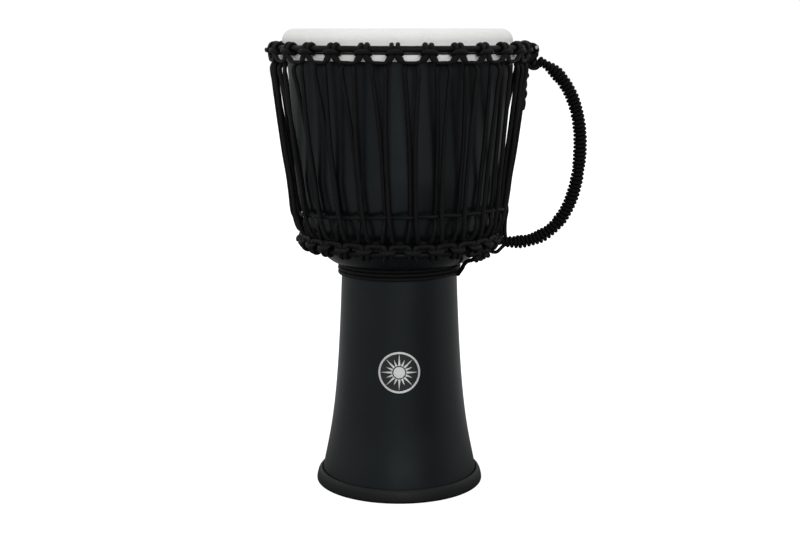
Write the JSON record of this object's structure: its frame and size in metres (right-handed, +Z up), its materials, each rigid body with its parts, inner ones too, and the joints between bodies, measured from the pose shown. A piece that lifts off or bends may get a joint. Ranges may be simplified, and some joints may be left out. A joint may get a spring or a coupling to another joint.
{
  "type": "djembe",
  "caption": "Goblet-shaped rope-tuned hand drum with a synthetic head, hitched tuning rings, laced sides, a rope-wrapped carrying handle and a rubber foot ring.",
  "frame": {"origin": "the middle of the whole drum's footprint, handle included, on the floor; the drum's own axis is 29.6 mm along -X from it", "axes": "+Z up along the drum's axis, +X towards the carrying handle, -Y the side with the badge"},
  "size_m": [0.35, 0.291, 0.504],
  "materials": {
    "shell": "moulded black shell with a soft satin gloss",
    "foot_rubber": "satin black moulded rubber",
    "head_film": "pale coated synthetic film, matt with fine speckles",
    "hoop": "off-white hoop wrapped in the head's skirt",
    "ring_sleeve": "steel ring in a smooth black sleeve",
    "rope": "black braided low-stretch rope",
    "handle_rope": "black braided rope wound tight",
    "badge_plate": "satin silver plate with a plain sun pattern"
  },
  "bodies": {
    "root": {"shell": "shell", "foot_ring": "foot_rubber", "bottom_ring": "ring_sleeve", "bottom_cradle_rope": "rope", "lacing_rope": "rope", "weave_rope": "rope", "waist_winding": "rope", "handle_bottom_tie": "rope", "badge": "badge_plate"},
    "head_assembly": {"drum_head": "head_film", "flesh_hoop": "hoop", "crown_ring": "ring_sleeve", "top_cradle_rope": "rope", "handle_top_tie": "rope", "rope_tail": "rope"},
    "handle": {"handle_core": "handle_rope", "handle_wrap": "handle_rope"}
  },
  "joints": [
    {"name": "head_lift", "type": "slide", "parent": "root", "child": "head_assembly", "axis": [0, 0, 1], "range_m": [0, 0.005], "deforming": ["lacing_rope"]},
    {"name": "handle_swing", "type": "hinge", "parent": "head_assembly", "child": "handle", "pos_m": [0.12086, 0.00016, 0.469], "axis": [0.1619, 0, 0.9868], "range_deg": [-60, 60]}
  ]
}
